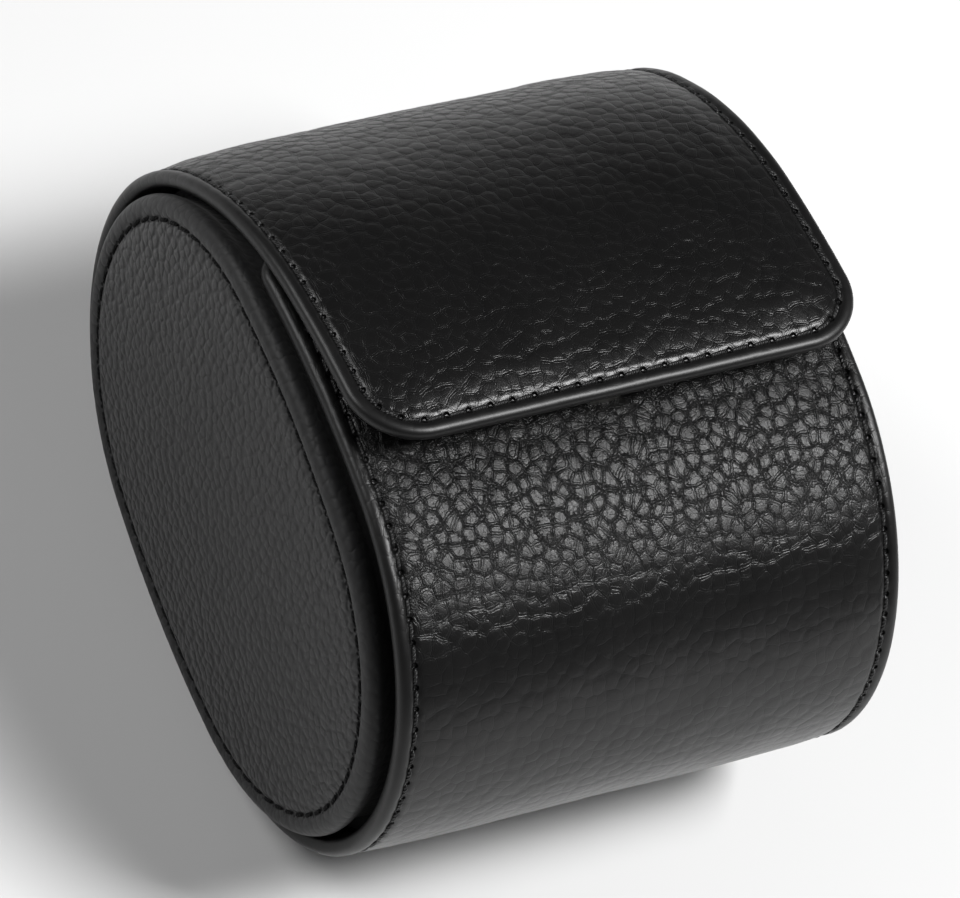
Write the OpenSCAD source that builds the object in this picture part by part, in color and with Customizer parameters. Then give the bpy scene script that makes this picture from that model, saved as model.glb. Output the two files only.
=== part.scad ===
// Travel case for one wristwatch: a stiff leather-covered wrap of oval section,
// closed at each end by a padded oval disc and at the mouth by a wrap-over flap,
// with a removable watch pillow inside. The case lies on its back: X runs along
// the roll, +Y points to the mouth, +Z to the front of the case.

/* [Case] */
// Length of the wrap along the roll, rim to rim
case_len = 71; // [60:0.5:90]
// Long side of the oval section, from the round end to the mouth end
oval_long = 93; // [88:0.5:100]
// Short side of the oval section, from back to front
oval_short = 71; // [70.6:0.1:72]
// Radius of the two round ends of the oval
end_r = 34.5; // [34:0.1:35]
// Depth of the pressed flat that the case rests on
base_flat = 0.4; // [0.2:0.05:0.45]

/* [Wall build-up] */
// Thickness of the outer leather
leather_t = 1.0; // [0.95:0.05:1.1]
// Thickness of the stiffener board
board_t = 1.1; // [0.8:0.05:1.2]
// Thickness of the suede lining and of the leather turned in over the edges
lining_t = 0.5; // [0.4:0.05:0.6]
// How far the leather is turned in behind the rims
turn_in = 8.5; // [6:0.5:10]
// Distance from an edge to the middle of its stitch line
stitch_inset = 2.1; // [1.8:0.1:3]
// Width of a stitch line
stitch_w = 0.6; // [0.4:0.1:0.8]
// Corner radius of the front wall's free edge
mouth_corner_r = 4; // [3.5:0.5:5]

/* [Flap] */
// Direction of the hinge line, seen from the centre of the mouth end
hinge_a = -40; // [-42:1:-38]
// Direction in which the flap starts to leave the oval
leave_a = 40; // [38:1:41]
// Radius of the flap's shoulder over the front wall's edge
shoulder_r = 52; // [51.5:0.1:53]
// Radius of the flap's front
front_r = 128; // [120:1:140]
// Corner radius of the flap's free edge
flap_corner_r = 9; // [5:0.5:14]
// Length of the boardless, flexible run on each side of the hinge line, in degrees
hinge_run_a = 7; // [5:0.5:9]

/* [End discs] */
// Gap between the wrap's inner face and the disc
disc_gap = 1.6; // [1:0.1:2.5]
// How far the disc stands out past the rim
disc_proud = 2.6; // [0.5:0.1:3.5]
// How far the discs are turned in the wrap, from the back towards the front at the mouth, in degrees
disc_turn = 6; // [0:0.5:7]
// How deep the structural end board sits below the rim
end_depth = 5.5; // [5:0.1:7]
// Thickness of the disc's leather cover
cover_t = 0.9; // [0.85:0.05:1.2]
// Thickness of the end board
end_board_t = 1.5; // [1.2:0.1:2]
// Distance from the disc's edge to its stitch line
disc_stitch = 2.6; // [2:0.1:4]

/* [Pillow] */
// Length of the pillow along the roll
pillow_len = 54; // [48:0.5:54.5]
// Thickness of the pillow, which is also twice the radius of its round sides
pillow_h = 40; // [34:0.5:40]
// Depth of the pillow from its rear to its nose
pillow_d = 60; // [52:0.5:60]
// Thickness of its suede cover
suede_t = 1.0; // [0.8:0.1:1.5]

/* [Closure] */
// Outer radius of the magnetic snap
snap_r = 6; // [5:0.1:6.5]
// Distance of the snap behind the middle of the case, towards the flap's free edge
snap_y = 8; // [7:0.1:9]

/* [Hidden] */

half = case_len / 2;
wall_t = leather_t + board_t + lining_t;
z0 = oval_short / 2 - base_flat;      // height of the oval's centre
ec = oval_long / 2 - end_r;           // distance of the end arcs' centres from the middle
bulge = oval_short / 2 - end_r;
sc = (ec * ec - bulge * bulge) / (2 * bulge); // distance of the side arcs' centres
side_r = sqrt(ec * ec + sc * sc) + end_r;
ta = atan2(sc, ec);                   // direction of the tangent points
seam_gap_a = 0.17;                    // half the gap at the hinge line, in degrees
thread_in = 0.45;                     // a thread's depth below the leather's face
thread_out = 0.85;
eps = 0.01;

// One arc of a section: centre, radius of the outer face, first and last direction, steps.
shell_arcs = [
  [[0, -sc], side_r, ta, 180 - ta, 12],
  [[-ec, 0], end_r, 180 - ta, 180 + ta, 40],
  [[0, sc], side_r, 180 + ta, 360 - ta, 12],
  [[ec, 0], end_r, 360 - ta, 360 + hinge_a - seam_gap_a, 12]];
ring_arcs = [
  [[0, -sc], side_r, ta, 180 - ta, 12],
  [[-ec, 0], end_r, 180 - ta, 180 + ta, 40],
  [[0, sc], side_r, 180 + ta, 360 - ta, 12],
  [[ec, 0], end_r, 360 - ta, 360 + ta, 40]];
front_a = 78.5;
c1 = [ec, 0];
c2 = c1 + (end_r - shoulder_r) * [cos(leave_a), sin(leave_a)];
c3 = c2 + (shoulder_r - front_r) * [cos(front_a), sin(front_a)];
flap_arcs = [
  [c1, end_r, hinge_a + seam_gap_a, leave_a, 24],
  [c2, shoulder_r, leave_a, front_a, 14],
  [c3, front_r, front_a, 90, 8]];
tip = c3 + [0, front_r];
hinge_pt = c1 + end_r * [cos(hinge_a), sin(hinge_a)];

// Point at depth t and direction a on an arc. Between the arc's steps it lies on the flat facet,
// so layers that are cut at different places still meet face to face.
function arc_step(s) = (s[3] - s[2]) / s[4];
function facet(s, a) = max(0, min(s[4] - 1, floor((a - s[2]) / arc_step(s))));
function arc_pt(s, t, a) = s[0] + (s[1] - t) * cos(arc_step(s) / 2) / cos(a - s[2] - (facet(s, a) + 0.5) * arc_step(s)) * [cos(a), sin(a)];
function arc_run(s, t, a1, a2, last) = concat(
  [arc_pt(s, t, a1)],
  [for (i = [0 : s[4]]) if (s[2] + i * arc_step(s) > a1 + 0.01 && s[2] + i * arc_step(s) < a2 - 0.01) arc_pt(s, t, s[2] + i * arc_step(s))],
  last ? [arc_pt(s, t, a2)] : []);
// Points of a run of arcs at depth t, with cut1 degrees left off the first arc and cut2 off the last.
function run(arcs, t, cut1 = 0, cut2 = 0) = [for (k = [0 : len(arcs) - 1])
  for (p = arc_run(arcs[k], t, arcs[k][2] + (k == 0 ? cut1 : 0), arcs[k][3] - (k == len(arcs) - 1 ? cut2 : 0), k == len(arcs) - 1)) p];
function back(p) = [for (i = [len(p) - 1 : -1 : 0]) p[i]];
function closed_run(arcs, t) = [for (s = arcs) for (i = [0 : s[4] - 1]) arc_pt(s, t, s[2] + i * arc_step(s))];
// Degrees along the front wall for m millimetres of it.
function along_front(m) = m / side_r * 180 / PI;

// Stands a section drawn in (Y, Z) up and runs it along X from x1 to x2.
module along(x1, x2) translate([x1, 0, z0]) rotate([90, 0, 90]) linear_extrude(height = x2 - x1) children();
module above_base() intersection() {
  children();
  translate([-case_len, -oval_long, 0]) cube([2 * case_len, 3 * oval_long, 3 * oval_short]);
}
module band(arcs, t1, t2, cut1 = 0, cut2 = 0) polygon(concat(run(arcs, t1, cut1, cut2), back(run(arcs, t2, cut1, cut2))));
module oval(t) rotate(disc_turn) polygon(closed_run(ring_arcs, t));

// ---- Wrap ----
// A layer of the wrap between depths t1 and t2, clear of the rims by e and of the mouth edge by m.
module shell_layer(t1, t2, e, m = 0, cut_a = 0) along(-half + e, half - e) band(shell_arcs, t1, t2, along_front(m), cut_a);

// What is cut away outside the front wall's rounded corners, clear of its edges by e.
mouth_y = side_r * cos(ta);
module mouth_corners(e) for (s = [-1, 1]) translate([s * (half - mouth_corner_r), mouth_y - mouth_corner_r, z0 + 20])
  linear_extrude(height = 30) difference() {
    translate([s > 0 ? 0 : -mouth_corner_r - 5, 0]) square(mouth_corner_r + 5);
    circle(r = mouth_corner_r - e, $fn = 64);
  }

module shell_board() color([0.42, 0.36, 0.30]) difference() {
  shell_layer(leather_t, leather_t + board_t, leather_t, leather_t, hinge_run_a);
  mouth_corners(leather_t);
  wall_snap_pocket();
}

module shell_leather() color([0.055, 0.055, 0.06]) above_base() difference() {
  shell_layer(0, wall_t, 0);
  mouth_corners(0);
  difference() {
    shell_layer(leather_t, leather_t + board_t, leather_t, leather_t, -1);
    mouth_corners(leather_t);
  }
  shell_layer(leather_t + board_t, wall_t + 1, turn_in, turn_in, -1);
  for (s = [-1, 1]) rim_band(s, stitch_w, -1, thread_out);
  mouth_band(stitch_w, -1, thread_out);
  wall_snap_pocket();
}

module shell_lining() color([0.16, 0.155, 0.15]) difference() {
  shell_layer(leather_t + board_t, wall_t, turn_in, turn_in, 1);
  wall_snap_pocket();
}

// The boardless run beside the hinge line, reinforced with a woven strip.
module hinge_strip_back() color([0.10, 0.10, 0.10]) along(-half + leather_t, half - leather_t)
  band([shell_arcs[3]], leather_t, leather_t + board_t, shell_arcs[3][3] - shell_arcs[3][2] - hinge_run_a, 0);

module rim_band(s, w, t1, t2) translate([s * (half - stitch_inset), 0, 0])
  along(-w / 2, w / 2) band(shell_arcs, t1, t2, along_front(stitch_inset), hinge_run_a / 2);
module rim_stitches_left() color([0.02, 0.02, 0.02]) rim_band(-1, stitch_w, thread_in, thread_out);
module rim_stitches_right() color([0.02, 0.02, 0.02]) rim_band(1, stitch_w, thread_in, thread_out);
// The stitch line along the front wall's free edge, between the two rim lines.
module mouth_band(w, t1, t2) along(-half + stitch_inset + stitch_w / 2, half - stitch_inset - stitch_w / 2)
  band([shell_arcs[0]], t1, t2, along_front(stitch_inset - w / 2), 180 - 2 * ta - along_front(stitch_inset + w / 2));
module mouth_stitches() color([0.02, 0.02, 0.02]) mouth_band(stitch_w, thread_in, thread_out);

// ---- Ends ----
disc_t = wall_t + disc_gap;           // depth of the disc's edge below the wrap's outer face
x_board = half - end_depth;           // outer face of the end board
x_face = half + disc_proud;           // outer face of the disc
mouth_ease = 0.9;                     // extra clearance to the flap, round the mouth end
edge_fold = 0.3;

// Outline of a panel that fills the wrap but eases back where the flap passes.
module panel(ease) polygon(concat(
  run(shell_arcs, wall_t, 0, hinge_run_a),
  run([[c1, end_r, 360 + hinge_a - hinge_run_a + 1, 360 + ta - 2, 36]], wall_t + ease)));

module both(s) mirror([s < 0 ? 1 : 0, 0, 0]) children();

module end_board(s) color([0.42, 0.36, 0.30]) both(s) along(x_board - end_board_t, x_board) panel(mouth_ease);
module end_board_left() end_board(-1);
module end_board_right() end_board(1);

// The lining covers the board's inner face and folds over its edge at the mouth.
module end_lining(s) color([0.16, 0.155, 0.15]) both(s) {
  along(x_board - end_board_t - lining_t, x_board - end_board_t) panel(mouth_ease - edge_fold);
  along(x_board - end_board_t, x_board) difference() {
    panel(mouth_ease - edge_fold);
    panel(mouth_ease);
  }
}
module end_lining_left() end_lining(-1);
module end_lining_right() end_lining(1);

module end_pad(s) color([0.75, 0.73, 0.68]) both(s) along(x_board, x_face - cover_t) oval(disc_t + cover_t);
module end_pad_left() end_pad(-1);
module end_pad_right() end_pad(1);

module end_thread(w, x1, x2) along(x1, x2) difference() {
  oval(disc_t + disc_stitch - w / 2);
  oval(disc_t + disc_stitch + w / 2);
}
module end_cover(s) color([0.10, 0.10, 0.105]) both(s) difference() {
  along(x_board, x_face) oval(disc_t);
  along(x_board - 1, x_face - cover_t) oval(disc_t + cover_t);
  end_thread(stitch_w, x_face - 0.45, x_face + 1);
}
module end_cover_left() end_cover(-1);
module end_cover_right() end_cover(1);

module end_stitches(s) color([0.02, 0.02, 0.02]) both(s) end_thread(stitch_w, x_face - 0.45, x_face - 0.05);
module end_stitches_left() end_stitches(-1);
module end_stitches_right() end_stitches(1);

// ---- Flap ----
// Plan of the flap seen from the front, clear of its edges by e, with rounded free corners.
module flap_plan(e) translate([0, 0, -1]) linear_extrude(height = 2 * oval_short) difference() {
  translate([-half + e, tip[0] + e]) square([case_len - 2 * e, 2 * oval_long]);
  if (flap_corner_r > e) for (s = [-1, 1]) translate([s * (half - flap_corner_r), tip[0] + flap_corner_r]) difference() {
    translate([s > 0 ? 0 : -flap_corner_r - 5, -flap_corner_r - 5]) square(flap_corner_r + 5);
    circle(r = flap_corner_r - e, $fn = 96);
  }
}
module flap_layer(t1, t2, e, a1 = 0) intersection() {
  along(-half + e, half - e) band(flap_arcs, t1, t2, a1, 0);
  flap_plan(e);
}
module flap_thread(w, t1, t2, a1) difference() {
  flap_layer(t1, t2, stitch_inset - w / 2, a1);
  flap_layer(t1 - 1, t2 + 1, stitch_inset + w / 2, a1 - 1);
}
module flap_board() color([0.42, 0.36, 0.30]) difference() {
  flap_layer(leather_t, leather_t + board_t, leather_t, hinge_run_a);
  flap_snap_pocket();
  plate_prongs(0.05, 1);
}
module flap_leather() color([0.05, 0.05, 0.055]) difference() {
  flap_layer(0, wall_t, 0);
  flap_layer(leather_t, leather_t + board_t, leather_t, -1);
  flap_layer(leather_t + board_t, wall_t + 1, turn_in, -1);
  flap_thread(stitch_w, -1, thread_out, hinge_run_a / 2);
  flap_snap_pocket();
}
module flap_lining() color([0.16, 0.155, 0.15]) difference() {
  flap_layer(leather_t + board_t, wall_t, turn_in, 1);
  flap_snap_pocket();
}
module hinge_strip_flap() color([0.10, 0.10, 0.10]) along(-half + leather_t, half - leather_t)
  band([flap_arcs[0]], leather_t, leather_t + board_t, 0, flap_arcs[0][3] - flap_arcs[0][2] - hinge_run_a);
module flap_stitches() color([0.02, 0.02, 0.02]) flap_thread(stitch_w, thread_in, thread_out, hinge_run_a / 2);

// ---- Magnetic snap ----
wall_y = sqrt(side_r * side_r - snap_y * snap_y) - sc;          // front wall's outer face at the snap
flap_y = c3[1] + sqrt(front_r * front_r - pow(-snap_y - c3[0], 2)); // flap's outer face at the snap
cup_low = wall_y - 1.3;
cup_top = cup_low + 3.4;
plate_low = cup_top + 0.15;
plate_top = flap_y - 1.8;
seat_r = 3.3;
boss_h = 0.8;
module at_snap(z) translate([0, -snap_y, z0 + z]) children();
washer_low = wall_y - 2.1;
washer_t = 0.5;
// Two flat prongs at height z, h high, whose ends are bent outwards at the side that dir points to.
// With more than 0 for c they are the slots for the prongs, and up is the extra height of the slots.
module prongs(z, h, dir, c, up) at_snap(z) for (s = [0, 1]) mirror([s, 0, 0]) {
  translate([2.0 - c, -1.5 - c, -c]) cube([0.4 + 2 * c, 3 + 2 * c, h + 2 * c]);
  translate([2.0 - c, -1.5 - c, (dir > 0 ? h - 0.25 : 0) - c]) cube([2.6 + 2 * c, 3 + 2 * c, 0.25 + 2 * c + up]);
}
module cup_prongs(c) prongs(washer_low - 0.25, cup_low - washer_low + 0.35, -1, c, 0);
module plate_prongs(c, up) prongs(plate_top - 0.1, flap_y - 1.15 - plate_top + 0.1, 1, c, up);
module wall_snap_pocket() {
  at_snap(cup_low) cylinder(h = 10, r = snap_r + 0.05, $fn = 96);
  at_snap(washer_low - 0.05) cylinder(h = washer_t + 0.1, r = snap_r + 0.55, $fn = 96);
  cup_prongs(0.05);
}
module flap_snap_pocket() at_snap(plate_low - 5) cylinder(h = plate_top - plate_low + 5, r = snap_r + 0.05, $fn = 96);

module snap_cup() color([0.78, 0.78, 0.80]) {
  at_snap(0) difference() {
    translate([0, 0, cup_low]) cylinder(h = cup_top - cup_low, r = snap_r, $fn = 96);
    translate([0, 0, cup_low + 0.4]) cylinder(h = cup_top - cup_low - 0.8, r = snap_r - 0.4, $fn = 96);
    translate([0, 0, cup_top - 0.95]) cylinder(h = 0.95, r1 = seat_r - 1.6, r2 = seat_r, $fn = 96);
    translate([0, 0, cup_top - eps]) cylinder(h = 1, r = seat_r, $fn = 96);
  }
  cup_prongs(0);
}
module snap_magnet() color([0.30, 0.30, 0.31]) at_snap(0) difference() {
  translate([0, 0, cup_low + 0.4]) cylinder(h = cup_top - cup_low - 0.8, r = snap_r - 0.4, $fn = 96);
  translate([0, 0, cup_low]) cylinder(h = 5, r = seat_r, $fn = 96);
}
module snap_washer() color([0.70, 0.70, 0.72]) difference() {
  at_snap(washer_low) cylinder(h = washer_t, r = snap_r + 0.5, $fn = 96);
  cup_prongs(0.05);
}
module snap_plate() color([0.78, 0.78, 0.80]) {
  at_snap(plate_low) cylinder(h = plate_top - plate_low, r = snap_r, $fn = 96);
  at_snap(plate_low - boss_h) cylinder(h = boss_h, r1 = 1.4, r2 = 3.0, $fn = 96);
  plate_prongs(0, 0);
}

// ---- Pillow ----
pillow_r = pillow_h / 2;
py = -3;                              // the pillow's centre, from the oval's centre
pz = -11.3;
module pillow_section(t) union() {
  for (s = [-1, 1]) translate([py + s * (pillow_d / 2 - pillow_r), pz]) circle(r = pillow_r - t, $fn = 128);
  translate([py - pillow_d / 2 + pillow_r, pz - pillow_r + t]) square([pillow_d - 2 * pillow_r, pillow_h - 2 * t]);
}
module pillow_core() color([0.80, 0.78, 0.72]) along(-pillow_len / 2 + suede_t, pillow_len / 2 - suede_t) pillow_section(suede_t);
module pillow_cover() color([0.20, 0.19, 0.185]) along(-pillow_len / 2 + suede_t, pillow_len / 2 - suede_t) difference() {
  pillow_section(0);
  pillow_section(suede_t);
}
module pillow_end(s) color([0.20, 0.19, 0.185]) both(s) along(pillow_len / 2 - suede_t, pillow_len / 2) pillow_section(0);
module pillow_end_left() pillow_end(-1);
module pillow_end_right() pillow_end(1);

shell_board();
shell_leather();
shell_lining();
hinge_strip_back();
rim_stitches_left();
rim_stitches_right();
mouth_stitches();
end_board_left();
end_board_right();
end_pad_left();
end_pad_right();
end_cover_left();
end_cover_right();
end_stitches_left();
end_stitches_right();
end_lining_left();
end_lining_right();
snap_cup();
snap_magnet();
snap_washer();
flap_board();
flap_leather();
flap_lining();
hinge_strip_flap();
flap_stitches();
snap_plate();
pillow_core();
pillow_cover();
pillow_end_left();
pillow_end_right();
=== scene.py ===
import math

import bmesh
import bpy
import numpy as np
from mathutils import Matrix, Vector


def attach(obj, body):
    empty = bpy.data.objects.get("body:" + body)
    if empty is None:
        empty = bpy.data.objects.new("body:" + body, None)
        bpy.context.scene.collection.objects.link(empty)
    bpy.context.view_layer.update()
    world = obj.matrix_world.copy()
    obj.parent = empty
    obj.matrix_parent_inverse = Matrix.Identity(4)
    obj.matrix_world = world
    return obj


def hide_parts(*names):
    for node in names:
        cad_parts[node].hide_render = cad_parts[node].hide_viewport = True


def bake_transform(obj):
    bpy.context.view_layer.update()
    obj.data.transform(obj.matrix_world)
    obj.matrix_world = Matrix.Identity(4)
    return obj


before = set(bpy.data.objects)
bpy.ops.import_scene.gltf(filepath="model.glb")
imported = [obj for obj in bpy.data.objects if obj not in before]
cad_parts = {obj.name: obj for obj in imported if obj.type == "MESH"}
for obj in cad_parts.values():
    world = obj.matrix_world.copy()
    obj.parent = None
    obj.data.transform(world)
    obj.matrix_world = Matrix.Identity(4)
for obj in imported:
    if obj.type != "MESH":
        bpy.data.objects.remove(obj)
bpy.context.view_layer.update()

# ---------------------------------------------------------------- sizes, in millimetres
MM = 0.001
HALF = 35.5            # half the wrap's length
Z0 = 35.1              # height of the oval's centre
PITCH = 3.0            # one stitch
CORNER = 9.0           # the flap's corner radius
CELLS = 120
GRID = (2 * HALF - 2 * CORNER) / CELLS          # spacing of the skins' points
BAND = CORNER - 11 * GRID                       # width of the finely ringed edge band
SEAM = 2.1             # stitch line to edge
SNAP_Y = -8.0
SIDE_R = 107.0
TA = math.degrees(math.atan2(71.5, 12.0))


def polar(a):
    return math.cos(math.radians(a)), math.sin(math.radians(a))


C2 = tuple(c + (34.5 - 52.0) * p for c, p in zip((12.0, 0.0), polar(40.0)))
C3 = tuple(c + (52.0 - 128.0) * p for c, p in zip(C2, polar(78.5)))
# centre y and z, radius, first and last direction of each arc of the wrap's outer face
ARCS = [
    (0.0, -71.5, SIDE_R, TA, 180 - TA),
    (-12.0, 0.0, 34.5, 180 - TA, 180 + TA),
    (0.0, 71.5, SIDE_R, 180 + TA, 360 - TA),
    (12.0, 0.0, 34.5, 360 - TA, 320.0),
    (12.0, 0.0, 34.5, 320.0, 400.0),
    (C2[0], C2[1], 52.0, 400.0, 438.5),
    (C3[0], C3[1], 128.0, 438.5, 450.0),
]
LENGTHS = [a[2] * math.radians(a[4] - a[3]) for a in ARCS]
STARTS = np.concatenate([[0], np.cumsum(LENGTHS)])
S_HINGE = float(STARTS[4])
S_TIP = float(STARTS[-1])
S_CASE = S_HINGE - 4.5     # where the body's stiff part ends
S_FLAP = S_HINGE + 4.5     # where the flap's begins


def track(s):
    s = np.asarray(s, float)
    k = np.clip(np.searchsorted(STARTS, s, side="right") - 1, 0, len(ARCS) - 1)
    t = np.array(ARCS)[k]
    a = np.radians(t[..., 3]) + (s - STARTS[k]) / t[..., 2]
    return t[..., 0], t[..., 1], t[..., 2], np.cos(a), np.sin(a)


def place(x, s, depth):
    """Points of the wrap at x along the roll, s along the wrap and depth below its outer face."""
    cy, cz, r, c, n = track(s)
    x = np.broadcast_to(x, np.shape(c))
    z = cz + (r - depth) * n + Z0
    return np.stack([x, cy + (r - depth) * c, z], -1)


def smooth(t):
    t = np.clip(t, 0, 1)
    return t * t * (3 - 2 * t)


def waves(x, y, size, seed, n=12):
    rng = np.random.RandomState(seed)
    out = 0
    for _ in range(n):
        a, k, p = rng.uniform(0, 2 * math.pi), 2 * math.pi / (size * rng.uniform(0.7, 1.6)), rng.uniform(0, 2 * math.pi)
        out = out + np.sin(k * (x * math.cos(a) + y * math.sin(a)) + p)
    return out / math.sqrt(2 * n)


# ---------------------------------------------------------------- nodes
def math_node(nt, op, a, b=None, c=None, clamp=False):
    n = nt.nodes.new("ShaderNodeMath")
    n.operation = op
    n.use_clamp = clamp
    for i, v in enumerate((a, b, c)):
        if v is None:
            continue
        if isinstance(v, (int, float)):
            n.inputs[i].default_value = v
        else:
            nt.links.new(v, n.inputs[i])
    return n.outputs[0]


def scaled(nt, vec, by, shift=(0, 0, 0)):
    n = nt.nodes.new("ShaderNodeVectorMath")
    n.operation = "MULTIPLY_ADD"
    nt.links.new(vec, n.inputs[0])
    n.inputs[1].default_value = by if isinstance(by, tuple) else (by, by, by)
    n.inputs[2].default_value = shift
    return n.outputs[0]


def noise(nt, vec, scale, detail=2.0, rough=0.5):
    n = nt.nodes.new("ShaderNodeTexNoise")
    nt.links.new(vec, n.inputs["Vector"])
    n.inputs["Scale"].default_value = scale
    n.inputs["Detail"].default_value = detail
    n.inputs["Roughness"].default_value = rough
    return n


def voronoi(nt, vec, scale, feature, random=1.0):
    n = nt.nodes.new("ShaderNodeTexVoronoi")
    n.voronoi_dimensions = "2D"
    n.feature = feature
    nt.links.new(vec, n.inputs["Vector"])
    n.inputs["Scale"].default_value = scale
    n.inputs["Randomness"].default_value = random
    return n.outputs["Distance"]


def ramp(nt, v, a, b, lo=0.0, hi=1.0):
    n = nt.nodes.new("ShaderNodeMapRange")
    n.interpolation_type = "SMOOTHSTEP"
    nt.links.new(v, n.inputs["Value"])
    n.inputs["From Min"].default_value = a
    n.inputs["From Max"].default_value = b
    n.inputs["To Min"].default_value = lo
    n.inputs["To Max"].default_value = hi
    return n.outputs["Result"]


WRAP_PEBBLE, DISC_PEBBLE = 1.85, 1.35


def warped(nt, vec, size):
    """The grain's coordinates in pebbles, pushed about so that no two pebbles are alike."""
    v = scaled(nt, vec, (1 / size, 0.88 / size, 1.0))
    w = noise(nt, v, 0.7, 2.0).outputs["Color"]
    n = nt.nodes.new("ShaderNodeVectorMath")
    n.operation = "MULTIPLY_ADD"
    nt.links.new(w, n.inputs[0])
    n.inputs[1].default_value = (0.75, 0.75, 0)
    nt.links.new(v, n.inputs[2])
    return n.outputs[0]


def pebbles(nt, vec, size):
    """Height from 0 to 1 of the leather's pebbles, how far up a pebble a point is, and the warped coordinates."""
    v = warped(nt, vec, size)
    top = ramp(nt, voronoi(nt, v, 1.0, "F1", 0.85), 0.30 if size > 1.5 else 0.26, 0.67, 1.0, 0.0)
    border = voronoi(nt, v, 1.0, "DISTANCE_TO_EDGE", 0.85)
    rim = ramp(nt, border, 0.0, 0.13 if size > 1.5 else 0.34, 0.0, 1.0)
    h = math_node(nt, "ADD", math_node(nt, "MULTIPLY", top, 0.78), math_node(nt, "MULTIPLY", rim, 0.22))
    return h, top, border, v


def build_field(size):
    nt = bpy.data.node_groups.new("grain_field", "GeometryNodeTree")
    nt.interface.new_socket("Geometry", in_out="INPUT", socket_type="NodeSocketGeometry")
    nt.interface.new_socket("Geometry", in_out="OUTPUT", socket_type="NodeSocketGeometry")
    i, o = nt.nodes.new("NodeGroupInput"), nt.nodes.new("NodeGroupOutput")
    at = nt.nodes.new("GeometryNodeInputNamedAttribute")
    at.data_type = "FLOAT_VECTOR"
    at.inputs["Name"].default_value = "grain"
    h = pebbles(nt, at.outputs["Attribute"], size)[0]
    st = nt.nodes.new("GeometryNodeStoreNamedAttribute")
    st.data_type, st.domain = "FLOAT", "POINT"
    st.inputs["Name"].default_value = "peb"
    nt.links.new(i.outputs[0], st.inputs["Geometry"])
    nt.links.new(h, st.inputs["Value"])
    nt.links.new(st.outputs["Geometry"], o.inputs[0])
    return nt


fields = {size: build_field(size) for size in (WRAP_PEBBLE, DISC_PEBBLE)}


def pebble_heights(grain, size=WRAP_PEBBLE):
    """The pebbles' height at each row of grain, worked out by the same nodes as the material's."""
    me = bpy.data.meshes.new("probe")
    me.vertices.add(len(grain))
    at = me.attributes.new("grain", "FLOAT_VECTOR", "POINT")
    at.data.foreach_set("vector", np.column_stack([grain, np.zeros(len(grain))]).astype(np.float32).ravel())
    ob = bpy.data.objects.new("probe", me)
    bpy.context.scene.collection.objects.link(ob)
    m = ob.modifiers.new("f", "NODES")
    m.node_group = fields[size]
    ev = ob.evaluated_get(bpy.context.evaluated_depsgraph_get())
    got = np.zeros(len(grain), np.float32)
    ev.data.attributes["peb"].data.foreach_get("value", got)
    bpy.data.objects.remove(ob)
    bpy.data.meshes.remove(me)
    return got.astype(float)


# ---------------------------------------------------------------- materials
def new_material(name):
    m = bpy.data.materials.new(name)
    m.use_nodes = True
    nt = m.node_tree
    b = nt.nodes["Principled BSDF"]
    return m, nt, b


def attribute(nt, name):
    n = nt.nodes.new("ShaderNodeAttribute")
    n.attribute_type = "GEOMETRY"
    n.attribute_name = name
    return n.outputs["Vector"]


def xyz(nt, v):
    n = nt.nodes.new("ShaderNodeSeparateXYZ")
    nt.links.new(v, n.inputs[0])
    return n.outputs


def bump(nt, height, distance, strength=1.0, after=None):
    n = nt.nodes.new("ShaderNodeBump")
    n.inputs["Strength"].default_value = strength
    n.inputs["Distance"].default_value = distance * MM
    nt.links.new(height, n.inputs["Height"])
    if after is not None:
        nt.links.new(after, n.inputs["Normal"])
    return n.outputs[0]


def two_colours(nt, fac, a, b):
    n = nt.nodes.new("ShaderNodeMix")
    n.data_type = "RGBA"
    nt.links.new(fac, n.inputs["Factor"])
    n.inputs["A"].default_value = (*a, 1)
    n.inputs["B"].default_value = (*b, 1)
    return n.outputs["Result"]


# Where the grain is drawn flatter: from, to, and the share that is left of it. The leather is stretched
# over the flap's padding and round the closed end.
DRAWN_FLAP = (S_HINGE + 48.0, S_HINGE + 62.0, 0.42)
DRAWN_END_A, DRAWN_END_B = (45.0, 62.0, 0.25), (118.0, 150.0, 1 / 0.25)


def drawn_share(s):
    """The share of the grain's relief left at s along the wrap."""
    out = 1.0
    for a, b, left in (DRAWN_END_A, DRAWN_END_B, DRAWN_FLAP):
        out = out * (1 + (left - 1) * smooth((np.asarray(s) - a) / (b - a)))
    return out


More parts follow.
